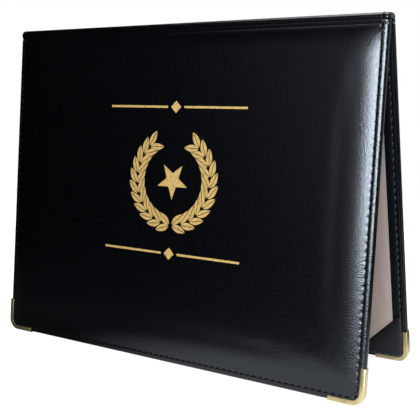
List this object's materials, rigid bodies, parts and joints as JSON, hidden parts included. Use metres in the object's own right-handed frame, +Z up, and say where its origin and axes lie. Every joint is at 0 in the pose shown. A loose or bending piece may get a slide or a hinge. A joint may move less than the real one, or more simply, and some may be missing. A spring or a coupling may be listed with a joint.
{
  "type": "certificate holder",
  "caption": "Padded leatherette certificate holder that folds along its top edge and stands as a tent, with brass corners and corner tabs that hold a letter-size sheet.",
  "frame": {"origin": "on the table under the middle of the standing tent", "axes": "+X along the fold to the right of someone facing the front cover, -Y out of the front cover, +Z up"},
  "size_m": [0.2986, 0.085, 0.2309],
  "materials": {
    "leatherette": "black pebble-grained leatherette, semi-gloss",
    "lining": "black smooth lining, satin",
    "thread": "black twisted sewing thread",
    "brass": "pressed pale brass, satin polish",
    "greyboard": "raw greyboard",
    "foam": "soft open-cell foam sheet",
    "paper": "plain taupe card, uncoated"
  },
  "bodies": {
    "rear_cover": {"rear_cover_skin": "leatherette", "rear_foam_pad": "foam", "rear_board": "greyboard", "rear_infill_card": "greyboard", "rear_lining": "lining", "rear_seam_thread": "thread", "rear_corner_right": "brass", "rear_corner_left": "brass", "display_sheet": "paper", "tab_upper_right": "leatherette", "tab_upper_left": "leatherette", "tab_lower_right": "leatherette", "tab_lower_left": "leatherette"},
    "spine": {"spine_skin": "leatherette", "spine_strip": "greyboard", "spine_lining": "lining"},
    "front_cover": {"front_cover_skin": "leatherette", "front_foam_pad": "foam", "front_board": "greyboard", "front_infill_card": "greyboard", "front_lining": "lining", "front_seam_thread": "thread", "front_corner_right": "brass", "front_corner_left": "brass"}
  },
  "joints": [
    {"name": "rear_hinge", "type": "hinge", "parent": "rear_cover", "child": "spine", "pos_m": [0, 0.00565, 0.22716], "axis": [-1, 0, 0], "range_deg": [-9.2, 80.8]},
    {"name": "front_hinge", "type": "hinge", "parent": "spine", "child": "front_cover", "pos_m": [0, -0.00565, 0.22716], "axis": [-1, 0, 0], "range_deg": [-9.2, 80.8]}
  ],
  "couplings": [
    {"joint": "rear_hinge", "follows": "front_hinge", "ratio": 1}
  ]
}
